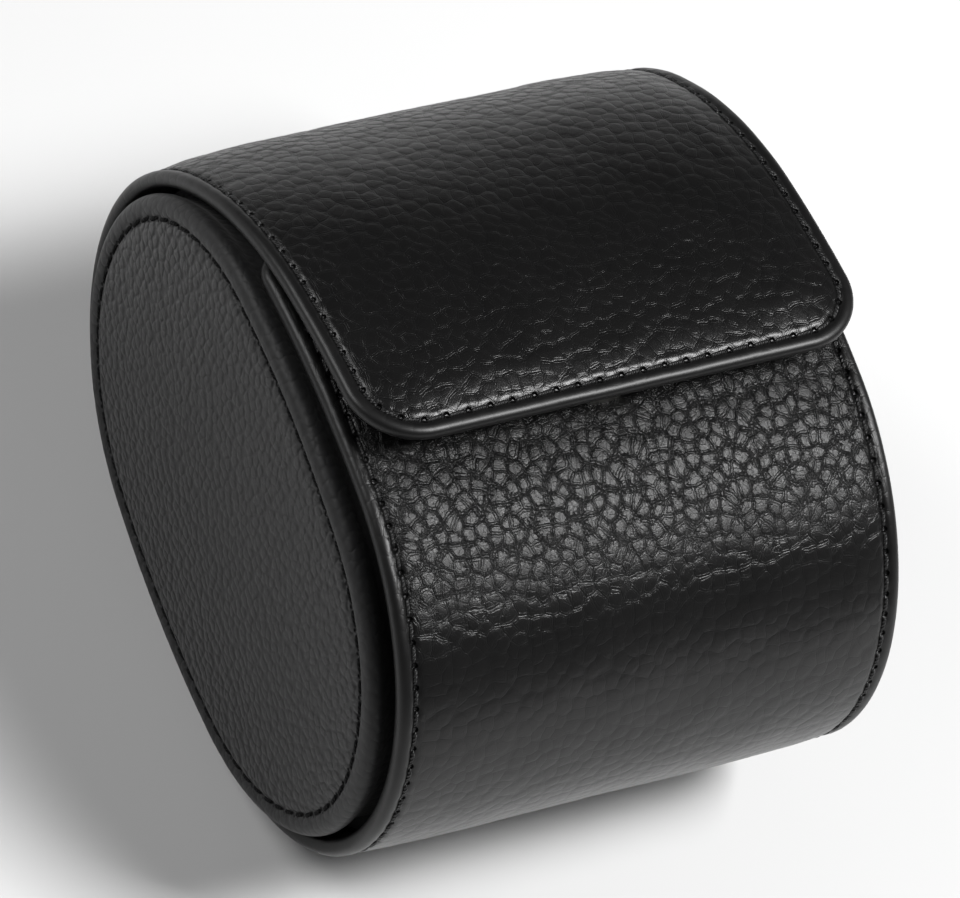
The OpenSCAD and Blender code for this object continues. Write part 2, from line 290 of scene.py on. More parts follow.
def leather(name, size, low, high, rough, depth, sheen=0.0, wrinkle=1.0, crease=1.0):
    m, nt, b = new_material(name)
    pos = attribute(nt, "grain")
    h, top, border, v = pebbles(nt, pos, size)
    # edge holds the distance from the edge and the stitch count; the leather is drawn smooth over the rims
    e = xyz(nt, attribute(nt, "edge"))
    drawn = ramp(nt, e[0], 0.5, 2.8, 0.25, 1.0)
    if size == WRAP_PEBBLE:
        for a, z, left in (DRAWN_END_A, DRAWN_END_B, DRAWN_FLAP):
            drawn = math_node(nt, "MULTIPLY", drawn, ramp(nt, xyz(nt, pos)[1], a, z, 1.0, left))
    valley = math_node(nt, "MULTIPLY", math_node(nt, "SUBTRACT", 1.0, top), drawn)
    # fine wrinkles that run between the pebbles and just touch their tops
    w1 = ramp(nt, voronoi(nt, scaled(nt, v, 1.0, (3.1, 7.7, 0)), 2.1, "DISTANCE_TO_EDGE", 1.0), 0.0, 0.12)
    w2 = ramp(nt, voronoi(nt, scaled(nt, v, 1.0, (11.3, 2.9, 0)), 4.2, "DISTANCE_TO_EDGE", 1.0), 0.0, 0.15)
    cut1 = math_node(nt, "MULTIPLY", math_node(nt, "SUBTRACT", 1.0, w1), math_node(nt, "MULTIPLY_ADD", valley, 1.3, 0.2, True))
    cut2 = math_node(nt, "MULTIPLY", math_node(nt, "SUBTRACT", 1.0, w2), math_node(nt, "MULTIPLY_ADD", valley, 0.7, 0.12, True))
    # a pebble's border is a pair of fine creases
    inner = math_node(nt, "SUBTRACT", 1.0, ramp(nt, border, 0.0, 0.045))
    outer = math_node(nt, "SUBTRACT", 1.0, ramp(nt, math_node(nt, "ABSOLUTE", math_node(nt, "SUBTRACT", border, 0.15)), 0.0, 0.035))
    cut3 = math_node(nt, "MAXIMUM", math_node(nt, "MULTIPLY", inner, 0.9), math_node(nt, "MULTIPLY", outer, 0.7))
    cut = math_node(nt, "ADD", math_node(nt, "MAXIMUM", cut1, cut3), math_node(nt, "MULTIPLY", cut2, 0.5))
    cut = math_node(nt, "MULTIPLY", cut, math_node(nt, "MULTIPLY", math_node(nt, "MULTIPLY", drawn, drawn), crease))
    pore = noise(nt, pos, 5.0, 3.0, 0.75).outputs["Fac"]
    n1 = bump(nt, math_node(nt, "MULTIPLY", h, drawn), depth)
    n2 = bump(nt, math_node(nt, "SUBTRACT", 1.0, cut), 0.105 * wrinkle, 1.0, n1)
    n3 = bump(nt, math_node(nt, "MULTIPLY", pore, drawn), 0.055 * wrinkle, 1.0, n2)
    cloud = noise(nt, pos, 0.12, 3.0).outputs["Fac"]
    # needle holes along the seam
    f = math_node(nt, "FRACT", math_node(nt, "ADD", e[1], 0.5))
    dt = math_node(nt, "MULTIPLY", math_node(nt, "SUBTRACT", f, 0.5), PITCH)
    du = math_node(nt, "SUBTRACT", e[0], SEAM)
    d2 = math_node(nt, "ADD", math_node(nt, "MULTIPLY", dt, dt), math_node(nt, "MULTIPLY", du, du))
    hole = ramp(nt, math_node(nt, "SQRT", d2), 0.18, 0.5)
    nt.links.new(bump(nt, hole, 0.35, 1.0, n3), b.inputs["Normal"])
    # base colour: lighter on the pebbles' tops and darker in their valleys and fine creases, painted shade; darker
    # again in the needle holes, painted shade; the cloud term is the leather's own uneven tone
    fac = math_node(nt, "MULTIPLY_ADD", h, 0.4, math_node(nt, "MULTIPLY_ADD", cloud, 0.5, 0.1), True)
    fac = math_node(nt, "MULTIPLY", fac, math_node(nt, "SUBTRACT", 1.0, math_node(nt, "MULTIPLY", cut, 0.6)), None, True)
    fac = math_node(nt, "MULTIPLY", fac, hole)
    nt.links.new(two_colours(nt, fac, low, high), b.inputs["Base Color"])
    r = math_node(nt, "MULTIPLY_ADD", valley, 0.04, rough)
    r = math_node(nt, "MULTIPLY_ADD", cut, 0.05, r)
    r = math_node(nt, "MULTIPLY_ADD", cloud, 0.06, r)
    # the rims are handled most and have lost some of their shine
    r = math_node(nt, "ADD", r, ramp(nt, e[0], 0.4, 2.4, 0.12, 0.0))
    nt.links.new(r, b.inputs["Roughness"])
    b.inputs["IOR"].default_value = 1.37
    if sheen:
        b.inputs["Sheen Weight"].default_value = sheen
        b.inputs["Sheen Roughness"].default_value = 0.5
    return m


def suede(name, low, high):
    m, nt, b = new_material(name)
    pos = attribute(nt, "grain")
    nap = noise(nt, pos, 0.22, 4.0, 0.6).outputs["Fac"]
    fibre = noise(nt, scaled(nt, pos, (1.0, 0.55, 1.0)), 5.5, 4.0, 0.7).outputs["Fac"]
    fac = math_node(nt, "MULTIPLY_ADD", nap, 0.65, math_node(nt, "MULTIPLY_ADD", fibre, 0.7, -0.2), True)
    nt.links.new(two_colours(nt, fac, low, high), b.inputs["Base Color"])
    nt.links.new(bump(nt, fibre, 0.09, 0.8), b.inputs["Normal"])
    nt.links.new(math_node(nt, "MULTIPLY_ADD", fibre, 0.15, 0.83), b.inputs["Roughness"])
    b.inputs["Sheen Weight"].default_value = 0.35
    b.inputs["Sheen Roughness"].default_value = 0.45
    b.inputs["Specular IOR Level"].default_value = 0.25
    return m


def thread_material(name, level, rough):
    m, nt, b = new_material(name)
    p = xyz(nt, attribute(nt, "grain"))
    ply = math_node(nt, "SINE", math_node(nt, "MULTIPLY_ADD", p[0], 11.0, math_node(nt, "MULTIPLY", p[1], 2.0)))
    nt.links.new(bump(nt, ply, 0.06, 0.9), b.inputs["Normal"])
    # the thread's colour is darker in the grooves between its plies: painted shade
    fac = math_node(nt, "MULTIPLY_ADD", ply, 0.5, 0.5, True)
    nt.links.new(two_colours(nt, fac, (0.0012, 0.0012, 0.0012), (0.006, 0.006, 0.0063)), b.inputs["Base Color"])
    nt.links.new(math_node(nt, "MULTIPLY_ADD", ply, -0.1, rough), b.inputs["Roughness"])
    b.inputs["Specular IOR Level"].default_value = level
    return m


def coordinates(nt):
    """A carried-over part's own coordinates, in millimetres."""
    n = nt.nodes.new("ShaderNodeTexCoord")
    return scaled(nt, n.outputs["Object"], 1000.0)


def plain(name, low, high, rough, metallic=0.0, size=1.0, stretch=(1, 1, 1), relief=0.03):
    m, nt, b = new_material(name)
    p = scaled(nt, coordinates(nt), stretch)
    a = noise(nt, p, size, 4.0, 0.6).outputs["Fac"]
    c = noise(nt, p, size * 0.13, 2.0).outputs["Fac"]
    fac = math_node(nt, "MULTIPLY_ADD", a, 0.6, math_node(nt, "MULTIPLY", c, 0.4), True)
    nt.links.new(two_colours(nt, fac, low, high), b.inputs["Base Color"])
    nt.links.new(bump(nt, a, relief), b.inputs["Normal"])
    nt.links.new(math_node(nt, "MULTIPLY_ADD", a, 0.2, rough - 0.1), b.inputs["Roughness"])
    b.inputs["Metallic"].default_value = metallic
    return m


LEATHER = leather("black_pebbled_leather", WRAP_PEBBLE, (0.0026, 0.0026, 0.0027), (0.0046, 0.0045, 0.0045), 0.26, 0.076)
# the discs are the same leather as the wrap; their base colour is set over twice as light, painted light for the light
# they catch from the floor
DISC_LEATHER = leather("black_disc_leather", DISC_PEBBLE, (0.0070, 0.0070, 0.0072), (0.0112, 0.0112, 0.0115), 0.42, 0.17, sheen=0.05, wrinkle=0.5, crease=0.12)
SUEDE = suede("charcoal_suede", (0.016, 0.0155, 0.015), (0.05, 0.048, 0.046))
PILLOW_SUEDE = suede("pillow_suede", (0.022, 0.021, 0.02), (0.066, 0.063, 0.06))
THREAD = thread_material("waxed_thread", 0.35, 0.5)
DISC_THREAD = thread_material("dull_thread", 0.08, 0.7)
BOARD = plain("grey_board", (0.30, 0.25, 0.20), (0.45, 0.39, 0.32), 0.9, size=2.5, relief=0.05)
BLACK_BOARD = plain("black_board", (0.008, 0.008, 0.008), (0.02, 0.02, 0.02), 0.85, size=2.5, relief=0.05)
BLACK_FOAM = plain("black_foam", (0.006, 0.006, 0.006), (0.014, 0.014, 0.014), 0.95, size=3.0, relief=0.12)
FOAM = plain("foam", (0.55, 0.53, 0.47), (0.72, 0.70, 0.64), 0.95, size=3.0, relief=0.12)
TAPE = plain("woven_tape", (0.02, 0.02, 0.02), (0.05, 0.05, 0.05), 0.85, size=4.0, stretch=(1, 4, 1), relief=0.08)
STEEL = plain("nickel_snap", (0.50, 0.49, 0.47), (0.66, 0.65, 0.62), 0.30, 1.0, size=0.9, stretch=(1, 6, 1), relief=0.01)
MAGNET = plain("dark_magnet", (0.05, 0.05, 0.055), (0.10, 0.10, 0.105), 0.55, 0.0, size=2.0)


# ---------------------------------------------------------------- mesh helpers
class Build:
    """Collects points and faces of one piece. Points carry the grain's coordinates and, where asked, the edge data."""

    def __init__(self):
        self.co, self.grain, self.edge, self.faces, self.n = [], [], [], [], 0

    def add(self, co, grain, edge=None):
        co = np.asarray(co, float).reshape(-1, 3)
        grain = np.asarray(grain, float).reshape(-1, 2)
        edge = np.zeros((len(co), 2)) + (50.0, 0.0) if edge is None else np.asarray(edge, float).reshape(-1, 2)
        ids = np.arange(self.n, self.n + len(co))
        self.co.append(co)
        self.grain.append(grain)
        self.edge.append(edge)
        self.n += len(co)
        return ids

    def grid(self, ids):
        """Quads between neighbouring rows and columns of an array of ids."""
        a, b, c, d = ids[:-1, :-1], ids[1:, :-1], ids[1:, 1:], ids[:-1, 1:]
        self.faces.extend(np.stack([a, b, c, d], -1).reshape(-1, 4).tolist())

    def face(self, ids):
        self.faces.append([int(i) for i in ids])

    def make(self, name, material, body=None, sharp=None, merge=2e-7):
        co = np.concatenate(self.co) * MM
        me = bpy.data.meshes.new(name)
        me.from_pydata(co.tolist(), [], self.faces)
        g = np.concatenate(self.grain)
        for key, val in (("grain", g), ("edge", np.concatenate(self.edge))):
            at = me.attributes.new(key, "FLOAT_VECTOR", "POINT")
            at.data.foreach_set("vector", np.column_stack([val, np.zeros(len(val))]).astype(np.float32).ravel())
        bm = bmesh.new()
        bm.from_mesh(me)
        bmesh.ops.remove_doubles(bm, verts=bm.verts, dist=merge)
        bmesh.ops.recalc_face_normals(bm, faces=bm.faces)
        for f in bm.faces:
            f.smooth = True
        limit = math.radians(sharp or 50)
        for e in bm.edges:
            if len(e.link_faces) == 2 and e.calc_face_angle(0) > limit:
                e.smooth = False
        bm.to_mesh(me)
        bm.free()
        me.materials.append(material)
        ob = bpy.data.objects.new(name, me)
        bpy.context.scene.collection.objects.link(ob)
        if body:
            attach(ob, body)
        return ob


# ---------------------------------------------------------------- the leather skins
CROWN_CASE, BULGE_CASE = 0.22, 0.12
CROWN_FLAP, BULGE_FLAP = 0.50, 0.45
SOFT = 6.0


def outer_depth(x, s, u, phase):
    """Depth of the outer leather below the wrap's face, u from the edge."""
    # the flap's leather is padded more than the body's; the change is spread over the mouth end
    t = smooth((np.asarray(s) - S_HINGE - 2) / 40.0)
    crown = CROWN_CASE + (CROWN_FLAP - CROWN_CASE) * t
    bulge = BULGE_CASE + (BULGE_FLAP - BULGE_CASE) * t
    groove = 0.36 * np.exp(-((u - SEAM) / 0.46) ** 2) * (1 + 0.28 * np.cos(2 * np.pi * phase))
    low = crown * (1 - smooth((u - 1.6) / SOFT)) ** 1.4
    proud = bulge * smooth((u - 3.0) / (2.2 * SOFT))
    calm = 0.10 * waves(x, s, 34.0, 5) * smooth(u / 6) + 0.035 * waves(x, s, 9.0, 9)
    return groove + low - proud + calm


def snap_dimple(x, s):
    """The leather is pressed in round the snap's cup."""
    cy, cz, r, c, n = track(s)
    d = np.hypot(x, cy + r * c - SNAP_Y)
    return np.where(n > 0.9, 0.35 * (1 - smooth((d - 6.0) / 1.5)), 0)


RINGS_OUT = [4.1417, 3.75, 3.4, 3.1, 2.85, 2.62, 2.42, 2.25, 2.1, 1.95, 1.78, 1.6, 1.42, 1.24, 1.05]
RINGS_OUT[0] = BAND
# the rolled rim: inset, share of the way from the outer to the inner face, and unrolled distance
RINGS_RIM = [
    (0.80, 0.015, 0.80), (0.57, 0.045, 0.55), (0.37, 0.10, 0.28), (0.20, 0.17, 0.02), (0.08, 0.26, -0.25),
    (0.01, 0.37, -0.55), (0.00, 0.49, -0.85), (0.02, 0.61, -1.15), (0.07, 0.72, -1.45), (0.16, 0.82, -1.75),
    (0.29, 0.905, -2.0), (0.48, 0.965, -2.3), (0.75, 0.995, -2.6), (1.2, 1.0, -3.05), (2.4, 1.0, -4.2),
    (4.5, 1.0, -6.3), (6.6, 1.0, -8.4), (8.2, 1.0, -10.0),
]
# behind the lip, where the leather meets the lining and wraps the board: inset and depth
RINGS_BACK = [(8.42, 2.52), (8.5, 2.34), (8.46, 2.12), (1.0, 2.12), (1.0, 1.0)]
WALL = 2.6


class Sheet:
    """One stretch of the wrap with rims at both sides and, if closed is True, a free edge at v = 0."""

    def __init__(self, to_s, length, radius, closed=True):
        self.to_s, self.length, self.r, self.closed = to_s, length, radius, closed
        steps = max(2, round((length - (radius if closed else 0)) / GRID))
        self.v = np.linspace(radius if closed else 0, length, steps + 1)
        kinds, vals = [], []
        for v in self.v[::-1]:
            kinds.append(0); vals.append(v)
        if closed:
            nc = max(8, int(radius * 1.5708 / 0.45))
            for a in np.linspace(0, 90, nc + 1)[1:-1]:
                kinds.append(1); vals.append(a)
            span = HALF - radius
            ne = round(2 * span / GRID)
            for x in np.linspace(span, -span, ne + 1):
                kinds.append(2); vals.append(x)
            for a in np.linspace(90, 0, nc + 1)[1:-1]:
                kinds.append(3); vals.append(a)
            for v in self.v:
                kinds.append(4); vals.append(v)
            self.ne = ne
            self.nc = nc
        self.kinds, self.vals = np.array(kinds), np.array(vals)

    def inset(self, u, side=None):
        """x and v of the outline's points moved in by u."""
        r, k, w = self.r, self.kinds, self.vals
        x, v = np.zeros(len(k)), np.zeros(len(k))
        x[k == 0] = HALF - u
        v[k == 0] = np.maximum(w[k == 0], u) if self.closed else w[k == 0]
        x[k == 4] = -(HALF - u)
        v[k == 4] = np.maximum(w[k == 4], u)
        x[k == 2] = np.clip(w[k == 2], -(HALF - u), HALF - u)
        v[k == 2] = u
        for kind, sign in ((1, 1), (3, -1)):
            a = np.radians(w[k == kind])
            q = max(r - u, 0)
            x[k == kind] = sign * ((HALF - max(r, u)) + q * np.cos(a))
            v[k == kind] = max(r, u) - q * np.sin(a)
        return x, v


def stitch_phase(s):
    return (s - S_HINGE - 1.5) / PITCH


def run_phase(sheet):
    """The stitch count at each outline point: it follows s on both rims, and is stretched a little round the free edge."""
    x, v = sheet.inset(SEAM)
    k = sheet.kinds
    d = np.concatenate([[0], np.cumsum(np.hypot(np.diff(x), np.diff(v)))])
    right, left = np.where(k == 0)[0], np.where(k == 4)[0]
    ph = np.zeros(len(k))
    ph[right] = stitch_phase(sheet.to_s(v[right]))
    if not sheet.closed:
        return ph
    i0, i1 = right[-1], left[0]
    sense = np.sign(ph[i0] - ph[right[0]])
    # the left rim counts the other way, from a start that keeps its holes level with the right rim's
    p0 = ph[i0]
    rough = (d[i1] - d[i0]) / PITCH
    left_level = stitch_phase(sheet.to_s(v[left]))
    m = round(p0 * 1 + sense * rough + left_level[0])
    ph[left] = m - left_level
    u = np.arange(i0, i1 + 1)
    ph[u] = p0 + (ph[left[0]] - p0) * (d[u] - d[i0]) / (d[i1] - d[i0])
    return ph


def skin(name, sheet, dimple):
    """The leather of one stretch, as a closed solid that wraps the board's edges."""
    b = Build()
    k = sheet.kinds
    to_s = sheet.to_s
    if sheet.closed:
        ph = run_phase(sheet)
        bands = [(np.arange(len(k)), ph)]
    else:
        ph = stitch_phase(to_s(sheet.vals))
        bands = [(np.arange(len(k)), ph)]

    def ring(u_pos, depth, u_grain, sign=1):
        x, v = sheet.inset(u_pos)
        gx, gv = sheet.inset(u_grain)
        if sign < 0:
            x, gx = -x, -gx
        s, gs = to_s(v), to_s(gv)
        if sheet.closed and u_grain < 0:
            gs = to_s(gv)
        return x, s, gx, gs

    def make_side(sign):
        rings, edge_rows = [], []
        steps = list(RINGS_OUT)
        if sheet.closed and sheet.r > BAND + 0.01:
            extra = np.linspace(sheet.r, BAND, round((sheet.r - BAND) / GRID) + 1)[:-1]
            steps = list(extra) + steps
        elif not sheet.closed:
            steps = list(RINGS_OUT)
        base = None
        for u in steps:
            x, s, gx, gs = ring(u, 0, u, sign)
            d = outer_depth(x, s, u, ph) + snap_dimple(x, s) * dimple
            rings.append((x, s, d, gx, gs, u, True))
            base = d
        for u, f, ug in RINGS_RIM:
            x, s, gx, gs = ring(u, 0, ug, sign)
            rings.append((x, s, base + (WALL - base) * f, gx, gs, ug, f < 0.9))
        for u, dep in RINGS_BACK:
            x, s, gx, gs = ring(u, 0, -10.3, sign)
            rings.append((x, s, np.full(len(x), dep), gx, gs, -10.0, False))
        return rings

    def put(rings):
        rows = []
        for x, s, d, gx, gs, u, relief in rings:
            g = np.column_stack([gx, gs])
            if relief:
                fade = 0.12 + 0.88 * smooth((u - 0.9) / 2.6)
                d = d - 0.076 * (pebble_heights(g) - 0.6) * fade * drawn_share(gs)
            p = place(x, s, d)
            p[:, 2] = np.maximum(p[:, 2], 0.0)
            rows.append(b.add(p, g, np.column_stack([np.full(len(x), u), ph])))
        return np.array(rows)

    if sheet.closed:
        rows = put(make_side(1))
        b.grid(rows)
        # interior
        r = sheet.r
        xs = np.linspace(HALF - r, -(HALF - r), sheet.ne + 1)
        X, V = np.meshgrid(xs, sheet.v, indexing="ij")
        S = to_s(V)
        u = np.minimum(HALF - np.abs(X), V)
        side, end = HALF - np.abs(X), V
        h = np.clip(0.5 + 0.5 * (end - side) / 5.0, 0, 1)
        u = end * (1 - h) + side * h - 5.0 * h * (1 - h)
        u = np.maximum(u, min(r, 4.0))
        G = np.stack([X, S], -1).reshape(-1, 2)
        d = outer_depth(X, S, u, 0.25) + snap_dimple(X, S) * dimple
        d = d.ravel() - 0.076 * (pebble_heights(G) - 0.6) * drawn_share(G[:, 1])
        p = place(X.ravel(), S.ravel(), d)
        p[:, 2] = np.maximum(p[:, 2], 0.0)
        ids = b.add(p, G, np.column_stack([np.maximum(u.ravel(), 4.0), np.zeros(u.size)])).reshape(X.shape)
        # the border of the interior takes the band's own points
        right, left = np.where(k == 0)[0], np.where(k == 4)[0]
        edge = np.where(k == 2)[0]
        ids[0, :] = rows[0][right[::-1]]
        ids[-1, :] = rows[0][left]
        ids[:, 0] = rows[0][edge]
        b.grid(ids)
        # the band's innermost points at each corner are looked up and left where they are
        for a in (1, 3):
            c = np.where(k == a)[0]
            target = rows[0][edge[0] if a == 1 else edge[-1]]
            for i in c:
                j = rows[0][i] - rows[0][0]
        last = rows[-1]
        for i in range(len(right) - 1):
            b.face([last[right[i]], last[right[i + 1]], last[left[-2 - i]], last[left[-1 - i]]])
        b.face(list(last[right[-1]: left[0] + 1]))
        # the cut across the wrap
        loop = list(rows[:, right[0]]) + list(rows[::-1, left[-1]]) + list(ids[-2:0:-1, -1])
        b.face(loop)
    else:
        pa, pb = put(make_side(1)), put(make_side(-1))
        b.grid(pa)
        b.grid(pb)
        nx = round(2 * (HALF - BAND) / GRID)
        xs = np.linspace(HALF - BAND, -(HALF - BAND), nx + 1)
        X, V = np.meshgrid(xs, sheet.vals, indexing="ij")
        S = to_s(V)
        G = np.stack([X, S], -1).reshape(-1, 2)
        u = HALF - np.abs(X)
        d = outer_depth(X, S, u, 0.25).ravel() - 0.076 * (pebble_heights(G) - 0.6) * drawn_share(G[:, 1])
        p = place(X.ravel(), S.ravel(), d)
        ids = b.add(p, G, np.column_stack([np.maximum(u.ravel(), 4.0), np.zeros(u.size)])).reshape(X.shape)
        ids[0, :] = pa[0]
        ids[-1, :] = pb[0]
        b.grid(ids)
        n = len(sheet.vals)
        for i in range(n - 1):
            b.face([pa[-1][i], pa[-1][i + 1], pb[-1][i + 1], pb[-1][i]])
        for i in (0, n - 1):
            b.face(list(pa[:, i]) + list(pb[::-1, i]) + list(ids[-2:0:-1, i]))
    return b.make(name, LEATHER)


case_sheet = Sheet(lambda v: v, S_CASE, BAND)
flap_sheet = Sheet(lambda v: S_TIP - v, S_TIP - S_FLAP, CORNER)
hinge_sheet = Sheet(lambda v: S_CASE + v, S_FLAP - S_CASE, 0, closed=False)

wrap = skin("wrap_leather", case_sheet, 1.0)
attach(wrap, "case")
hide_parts("shell_leather")
flap = skin("flap_outer_leather", flap_sheet, 0.0)
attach(flap, "flap")
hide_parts("flap_leather")
hinge = skin("hinge_leather", hinge_sheet, 0.0)
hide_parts("shell_leather", "flap_leather")


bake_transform(hinge)


# ---------------------------------------------------------------- linings and the hinge tape
def slab(name, material, s0, s1, x1, top, bottom, ns, nx, soft_ends=(True, True), body=None, rise=0.0):
    """A thin solid between two depths of the wrap, its inner face softened at the free edges."""
    b = Build()
    xs, ss = np.linspace(-x1, x1, nx + 1), np.linspace(s0, s1, ns + 1)
    X, S = np.meshgrid(xs, ss, indexing="ij")
    e = x1 - np.abs(X)
    if soft_ends[0]:
        e = np.minimum(e, S - s0)
    if soft_ends[1]:
        e = np.minimum(e, s1 - S)
    d = top - 0.22 * (1 - smooth(e / 0.7)) + rise * smooth(e / 14.0) + 0.03 * waves(X, S, 7.0, 21) * smooth(e / 2)
    up = b.add(place(X.ravel(), S.ravel(), d.ravel()), np.stack([X, S], -1).reshape(-1, 2)).reshape(X.shape)
    dn = b.add(place(X.ravel(), S.ravel(), np.full(X.size, bottom)), np.stack([X, S], -1).reshape(-1, 2)).reshape(X.shape)
    b.grid(up)
    b.grid(dn)
    for a, c in ((up[0], dn[0]), (up[-1], dn[-1]), (up[:, 0], dn[:, 0]), (up[:, -1], dn[:, -1])):
        b.grid(np.array([a, c]))
    return b.make(name, material, body)


lining_case = slab("body_lining", SUEDE, 8.35, S_CASE, 27.15, 2.62, 2.14, 330, 120, (True, False), "case", 0.04)
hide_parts("shell_lining")
lining_flap = slab("flap_inner_lining", SUEDE, S_FLAP, S_TIP - 8.35, 27.15, 2.62, 2.14, 170, 120, (False, True), "flap", 0.04)
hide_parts("flap_lining")
lining_hinge = slab("hinge_lining", SUEDE, S_CASE, S_FLAP, 27.15, 2.62, 2.14, 24, 120, (False, False), None, 0.04)
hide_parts("shell_lining", "flap_lining")
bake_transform(lining_hinge)
tape = slab("hinge_tape", TAPE, S_CASE + 0.1, S_FLAP - 0.1, 34.3, 2.05, 1.05, 20, 60, (False, False), None, 0.0)
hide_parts("hinge_strip_back", "hinge_strip_flap")
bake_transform(tape)


# ---------------------------------------------------------------- threads
def threads(name, centre, up, along, count_range, phase_at, body=None):
    """Slanted stitches. centre, up and along are arrays along the seam, phase_at its stitch count at each point."""
    b = Build()
    order = np.argsort(phase_at)
    ph = phase_at[order]
    c, u, t = centre[order], up[order], along[order]
    lat = np.cross(u, t)
    rng = np.random.RandomState(17)
    sections = 9
    q = np.linspace(-1, 1, sections)
    rad = 0.30 * np.clip(1.08 - 0.62 * np.abs(q) ** 4, 0.25, 1)
    sink = 0.10 * q ** 2 + 0.62 * np.abs(q) ** 7
    sides = 8
    ang = np.linspace(0, 2 * math.pi, sides, endpoint=False)
    for k in range(count_range[0], count_range[1]):
        j = rng.uniform(-0.02, 0.02, 4)
        pos = np.clip(k + 0.5 + j[0] + q * 0.44, ph[0], ph[-1])
        pts = np.stack([np.interp(pos, ph, c[:, i]) for i in range(3)], -1)
        uu = np.stack([np.interp(pos, ph, u[:, i]) for i in range(3)], -1)
        ll = np.stack([np.interp(pos, ph, lat[:, i]) for i in range(3)], -1)
        uu /= np.linalg.norm(uu, axis=1)[:, None]
        ll /= np.linalg.norm(ll, axis=1)[:, None]
        pts = pts + ll * (q * 0.13 + j[1])[:, None] - uu * (sink + j[2])[:, None]
        ring = (
            pts[:, None, :]
            + rad[:, None, None] * (np.cos(ang)[None, :, None] * ll[:, None, :] + np.sin(ang)[None, :, None] * uu[:, None, :])
        )
        g = np.stack(np.broadcast_arrays((q * 1.3)[:, None], ang[None, :]), -1)
        ids = b.add(ring.reshape(-1, 3), g.reshape(-1, 2)).reshape(sections, sides)
        b.grid(np.column_stack([ids, ids[:, 0]]))
        b.face(ids[0][::-1])
        b.face(ids[-1])
    return b.make(name, DISC_THREAD if name.startswith("disc") else THREAD, body, sharp=80)


def seam_line(sheet, sign=1):
    """The seam's centre line on a stretch of the wrap, with its outward and forward directions."""
    x, v = sheet.inset(SEAM)
    x = x * sign
    s = sheet.to_s(v)
    ph = run_phase(sheet) if sheet.closed else stitch_phase(s)
    d = outer_depth(x, s, np.full(len(x), SEAM), 0.25)
    p = place(x, s, d - 0.12)
    cy, cz, r, c, n = track(s)
    up = np.column_stack([np.zeros(len(x)), c, n])
    al = np.gradient(p, axis=0)
    al /= np.linalg.norm(al, axis=1)[:, None] + 1e-12
    return p, up, al, ph, sheet.kinds


def make_threads(name, sheet, pick, body, node, sign=1):
    p, up, al, ph, k = seam_line(sheet, sign)
    m = pick(k)
    p, up, al, ph = p[m], up[m], al[m], ph[m]
    lo, hi = ph.min(), ph.max()
    r = (math.ceil(lo - 0.08), math.floor(hi + 0.08))
    t = threads(name, p, up, al, r, ph, body)
    if node:
        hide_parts(*node)
    return t


make_threads("rim_thread_right", case_sheet, lambda k: k == 0, "case", ["rim_stitches_right"])
make_threads("rim_thread_left", case_sheet, lambda k: k == 4, "case", ["rim_stitches_left"])
make_threads("mouth_thread", case_sheet, lambda k: (k > 0) & (k < 4), "case", ["mouth_stitches"])
make_threads("flap_thread", flap_sheet, lambda k: k >= 0, "flap", ["flap_stitches"])
for sign, side in ((1, "right"), (-1, "left")):
    t = make_threads("hinge_thread_" + side, hinge_sheet, lambda k: k >= 0, None, None, sign)
    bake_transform(t)


# ---------------------------------------------------------------- end discs
OVAL = [
    (0.0, -71.5, SIDE_R, TA, 180 - TA),
    (-12.0, 0.0, 34.5, 180 - TA, 180 + TA),
    (0.0, 71.5, SIDE_R, 180 + TA, 360 - TA),
    (12.0, 0.0, 34.5, 360 - TA, 360 + TA),
]
DISC_T = 4.2
DISC_SEAM = 2.6


def oval_points(step):
    """For points round the oval: the arc's centre, its radius and the outward direction."""
    rows = []
    for cy, cz, r, a0, a1 in OVAL:
        n = max(6, round((r - DISC_T) * math.radians(a1 - a0) / step))
        for a in np.linspace(a0, a1, n + 1)[:-1]:
            rows.append((cy, cz, r, *polar(a)))
    return np.array(rows)


def oval_at(o, depth):
    q = np.maximum(o[:, 2] - depth, 0)
    return o[:, 0] + q * o[:, 3], o[:, 1] + q * o[:, 4]


DISC_TURN = math.radians(6.0)
# the disc's rolled edge: inset from the disc's outline, and x
DISC_EDGE = [
    (0.85, 30.0), (0.85, 31.5), (0.85, 32.8), (0.82, 33.5), (0.70, 34.1), (0.45, 34.5), (0.15, 34.85), (-0.10, 35.2), (-0.28, 35.55),
    (-0.38, 35.9), (-0.40, 36.2), (-0.37, 36.5), (-0.27, 36.82), (-0.10, 37.11), (0.12, 37.34), (0.38, 37.52), (0.66, 37.64),
    (0.95, 37.71), (1.25, 37.73), (1.52, 37.71), (1.78, 37.66), (2.0, 37.59), (2.18, 37.49), (2.34, 37.41), (2.48, 37.34), (2.6, 37.30),
    (2.72, 37.34), (2.86, 37.41), (3.02, 37.50), (3.2, 37.60), (3.45, 37.70), (3.75, 37.79), (4.05, 37.86),
]
DOME = 0.95


def turned(y, z):
    c, s = math.cos(DISC_TURN), math.sin(DISC_TURN)
    return c * y - s * z, s * y + c * z


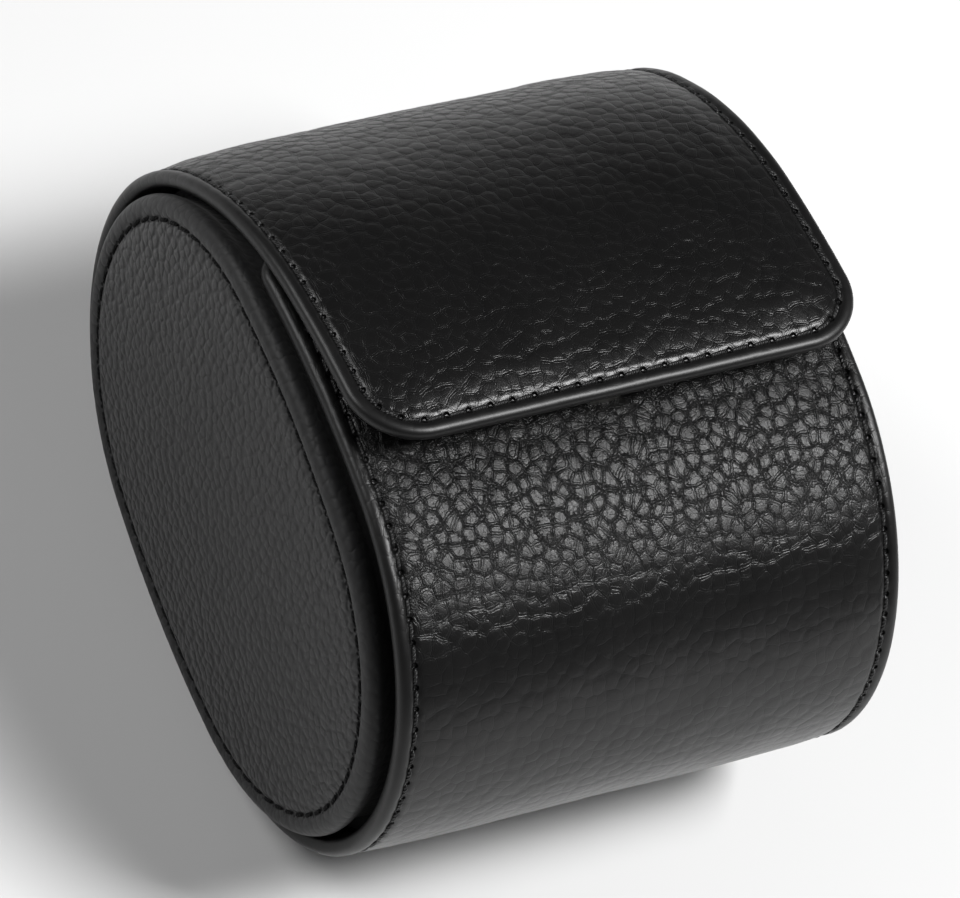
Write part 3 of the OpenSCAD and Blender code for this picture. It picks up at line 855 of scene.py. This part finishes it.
def disc(side, name):
    sx = 1 if side == "right" else -1
    b = Build()
    o = oval_points(0.42)
    per = len(o)
    y0, z0 = turned(*oval_at(o, DISC_T + DISC_SEAM))
    d = np.concatenate([[0], np.cumsum(np.hypot(np.diff(y0), np.diff(z0)))])
    total = d[-1] + math.hypot(y0[0] - y0[-1], z0[0] - z0[-1])
    count = round(total / PITCH)
    ph = count * d / total
    rows = []
    out_y, out_z = o[:, 3], o[:, 4]

    def put(u, x, u_grain, relief, squeeze=1.0, lift=0.0):
        y, z = oval_at(o, DISC_T + u)
        gy, gz = oval_at(o, DISC_T + max(u, 0.95))
        gy, gz = gy - out_y * min(u_grain - 0.95, 0), gz - out_z * min(u_grain - 0.95, 0)
        z, gz = z * squeeze, gz * squeeze
        g = np.column_stack([gy + (100 if sx > 0 else 0), gz])
        xx = np.full(per, x) + lift
        if relief:
            fade = 0.25 + 0.75 * smooth((u - 1.2) / 3.0)
            xx = xx + 0.06 * fade * (pebble_heights(g, DISC_PEBBLE) - 0.6) + 0.05 * waves(y, z, 22.0, 31 + sx) * smooth(u / 5)
        ty, tz = turned(y, z)
        rows.append(b.add(np.column_stack([sx * xx, ty, tz + Z0]), g, np.column_stack([np.full(per, u_grain - DISC_SEAM + SEAM), ph])))

    back = [0.0]
    for (u1, x1), (u0, x0) in zip(DISC_EDGE[17::-1], DISC_EDGE[16::-1]):
        back.append(back[-1] + math.hypot(u1 - u0, x1 - x0))
    back = back[::-1]
    for k, (u, x) in enumerate(DISC_EDGE):
        pinch = -0.05 * np.cos(2 * np.pi * ph) * math.exp(-((u - DISC_SEAM) / 0.5) ** 2) if u > 1 else 0.0
        put(u, x, 0.95 - back[k] if k <= 17 else u, u > 0.3 and x > 37, 1.0, pinch)
    for u in np.arange(4.45, 30.3, 0.42):
        t = (u - 4.05) / 26.25
        put(u, 37.86 + DOME * (1 - (1 - t) ** 2.0), u, True)
    for q in (1.0, 0.5, 0.0):
        put(30.3, 37.86 + DOME, 30.3, True, q)
    R = np.array(rows)
    b.grid(np.column_stack([R, R[:, 0]]))
    b.face(R[0])
    ob = b.make(name, DISC_LEATHER, "case")
    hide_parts("end_cover_" + side)
    # its stitches
    c = np.column_stack([np.full(per, sx * 37.40), y0, z0 + Z0])
    c, phs = np.vstack([c, c[:1]]), np.append(ph, count)
    al = np.gradient(c, axis=0)
    al /= np.linalg.norm(al, axis=1)[:, None]
    up = np.tile([float(sx), 0, 0], (len(c), 1))
    t = threads("disc_thread_" + side, c, up, al, (0, count), phs, "case")
    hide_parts("end_stitches_" + side)
    return ob


disc("left", "disc_leather_left")
disc("right", "disc_leather_right")


# ---------------------------------------------------------------- end linings
def end_lining(side):
    sx = 1 if side == "right" else -1
    b = Build()
    o = oval_points(1.0)
    # round the mouth the panel eases back from the flap
    mouth = np.where((o[:, 0] > 1) & (o[:, 1] == 0) & (o[:, 4] > -0.72), 1.0, 0.0)
    ease = 2.64 + 0.6 * mouth
    rows = []

    def put(extra, x):
        q = np.maximum(o[:, 2] - ease - extra, 0)
        y, z = o[:, 0] + q * o[:, 3], o[:, 1] + q * o[:, 4]
        rows.append(b.add(np.column_stack([np.full(len(o), sx * x), y, z + Z0]), np.column_stack([y, z])))

    for e, x in ((0.02, 29.9), (0.0, 28.6), (0.06, 28.25), (0.3, 28.05), (0.8, 27.95), (2, 27.9), (6, 27.86), (14, 27.82), (22, 27.8), (29, 27.8)):
        put(e, x)
    R = np.array(rows)
    b.grid(np.column_stack([R, R[:, 0]]))
    b.face(R[0])
    b.face(R[-1])
    ob = b.make("side_lining_" + side, SUEDE, "case")
    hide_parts("end_lining_" + side)


end_lining("left")
end_lining("right")


# ---------------------------------------------------------------- pillow
def pillow():
    b = Build()
    py, pz, r, straight = -3.0, -11.3, 20.0, 20.0
    arc = math.pi * r
    per = 2 * arc + 2 * straight
    n = 300
    t = np.arange(n) * per / n
    k_dir, cyy = [], []
    for q in t:
        if q < arc:
            a = -90 + math.degrees(q / r)
            cyy.append((py + straight / 2, pz)); k_dir.append(polar(a)); continue
        q -= arc
        if q < straight:
            cyy.append((py + straight / 2 - q, pz)); k_dir.append((0.0, 1.0)); continue
        q -= straight
        if q < arc:
            cyy.append((py - straight / 2, pz)); k_dir.append(polar(90 + math.degrees(q / r))); continue
        q -= arc
        cyy.append((py - straight / 2 + q, pz)); k_dir.append((0.0, -1.0))
    cyy, k_dir = np.array(cyy), np.array(k_dir)
    seam = 26.0
    prof = []
    for w in (19.4, 17.5, 15, 12.5, 10, 8, 6, 4.6, 3.6, 2.9, 2.4, 2.0, 1.72, 1.5):
        prof.append((w, -(seam + 0.5 + 0.5 * smooth((w - 1.5) / 9.0)), "cap"))
    prof += [(0.80, -(seam + 0.42), "seam"), (0.50, -(seam + 0.22), "seam"), (0.56, -(seam - 0.06), "seam"), (0.45, -(seam - 0.3), "seam")]
    xs = np.linspace(-(seam - 0.6), seam - 0.6, 88)
    for x in xs:
        e = seam - abs(x)
        prof.append((0.42 * (1 - smooth(e / 9.0)) + 0.06, x, "sleeve"))
    prof += [(w, -x, kind) for w, x, kind in prof[17::-1]]
    rows = []
    for w, x, kind in prof:
        e = abs(abs(x) - seam)
        pucker = 0.16 * np.sin(2 * np.pi * t / 3.1 + 0.8 * np.sin(t / 7.0)) * math.exp(-e / 2.2) + 0.22 * waves(t, 0 * t + x, 17.0, 44) * (0.3 if kind == "cap" else 1.0)
        ww = np.clip(w + 0.12 + 0.5 * pucker, 0.02, 19.6) if kind != "cap" else np.full(n, w)
        xx = np.full(n, x) + (np.sign(x) * 0.25 * pucker if kind == "cap" else 0)
        p = cyy + (r - ww)[:, None] * k_dir
        g = np.column_stack([t, np.full(n, x)]) if kind != "cap" else p
        rows.append(b.add(np.column_stack([xx, p[:, 0], p[:, 1] + Z0]), g))
    R = np.array(rows)
    b.grid(np.column_stack([R, R[:, 0]]))
    b.face(R[0])
    b.face(R[-1])
    ob = b.make("watch_pillow", PILLOW_SUEDE, "pillow", sharp=70)
    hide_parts("pillow_cover", "pillow_end_left", "pillow_end_right")


pillow()

# ---------------------------------------------------------------- carried-over parts
for names, material in (
    (("shell_board", "flap_board"), BOARD),
    (("end_board_left", "end_board_right"), BLACK_BOARD),
    (("end_pad_left", "end_pad_right"), BLACK_FOAM),
    (("pillow_core",), FOAM),
    (("snap_cup", "snap_washer", "snap_plate"), STEEL),
    (("snap_magnet",), MAGNET),
    (("hinge_strip_back", "hinge_strip_flap"), TAPE),
    (("shell_leather", "flap_leather"), LEATHER),
    (("end_cover_left", "end_cover_right"), DISC_LEATHER),
    (("shell_lining", "flap_lining", "end_lining_left", "end_lining_right"), SUEDE),
    (("pillow_cover", "pillow_end_left", "pillow_end_right"), PILLOW_SUEDE),
    (("rim_stitches_left", "rim_stitches_right", "mouth_stitches", "flap_stitches", "end_stitches_left", "end_stitches_right"), THREAD),
):
    for n in names:
        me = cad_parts[n].data
        me.materials.clear()
        me.materials.append(material)

# ---------------------------------------------------------------- floor, light, camera
scene = bpy.context.scene
scene.view_settings.view_transform = "Standard"
bm = bmesh.new()
for x, y in ((-3, -3), (3, -3), (3, 3), (-3, 3)):
    bm.verts.new((x, y, -0.00006))
bm.faces.new(bm.verts)
me = bpy.data.meshes.new("floor")
bm.to_mesh(me)
bm.free()
floor = bpy.data.objects.new("floor", me)
scene.collection.objects.link(floor)
fm, nt, b = new_material("pale_floor")
fn = noise(nt, coordinates(nt), 0.004, 2.0).outputs["Fac"]
nt.links.new(two_colours(nt, fn, (0.57, 0.57, 0.57), (0.61, 0.61, 0.61)), b.inputs["Base Color"])
b.inputs["Roughness"].default_value = 0.9
me.materials.append(fm)

world = bpy.data.worlds.new("studio")
scene.world = world
world.use_nodes = True
nt = world.node_tree
sky = nt.nodes.new("ShaderNodeTexCoord").outputs["Generated"]
height = xyz(nt, sky)[2]
low_glow = ramp(nt, height, 0.02, 0.36, 1.0, 0.0)
nt.links.new(two_colours(nt, low_glow, (0.02, 0.02, 0.021), (0.38, 0.38, 0.38)), nt.nodes["Background"].inputs[0])
nt.nodes["Background"].inputs[1].default_value = 1.0


def lamp(name, direction, distance, size, power, aim=(0, 0, 0.035), size_y=None):
    d = Vector(direction).normalized()
    data = bpy.data.lights.new(name, "AREA")
    data.shape = "RECTANGLE"
    data.size = size
    data.size_y = size_y or size
    data.energy = power
    ob = bpy.data.objects.new(name, data)
    ob.location = Vector(aim) + d * distance
    ob.rotation_mode = "QUATERNION"
    ob.rotation_quaternion = (-d).to_track_quat("-Z", "Y")
    scene.collection.objects.link(ob)


lamp("key", (0.42, -0.32, 0.85), 0.66, 0.22, 7.6)
lamp("fill", (-0.62, 0.46, 0.62), 1.0, 0.48, 6.6)

cam = bpy.data.cameras.new("camera")
cam.sensor_width = 36.0
cam.lens = 9090.0 / 960.0 * 36.0
cam.shift_x, cam.shift_y = 0.00015, -0.0017
cam.clip_start, cam.clip_end = 0.05, 20.0
camera = bpy.data.objects.new("camera", cam)
right = Vector((0.8840101905541746, -0.3872461291443458, 0.2618519017671867))
up = Vector((0.2052461522084438, 0.8247971886207911, 0.5268620451758385))
back = Vector((-0.42, -0.41200732166547666, 0.8086098978457043))
rot = Matrix((right, up, back)).transposed().to_4x4()
camera.matrix_world = Matrix.Translation((-0.48909830824, -0.47778382822, 0.97554756292)) @ rot
scene.collection.objects.link(camera)
scene.camera = camera
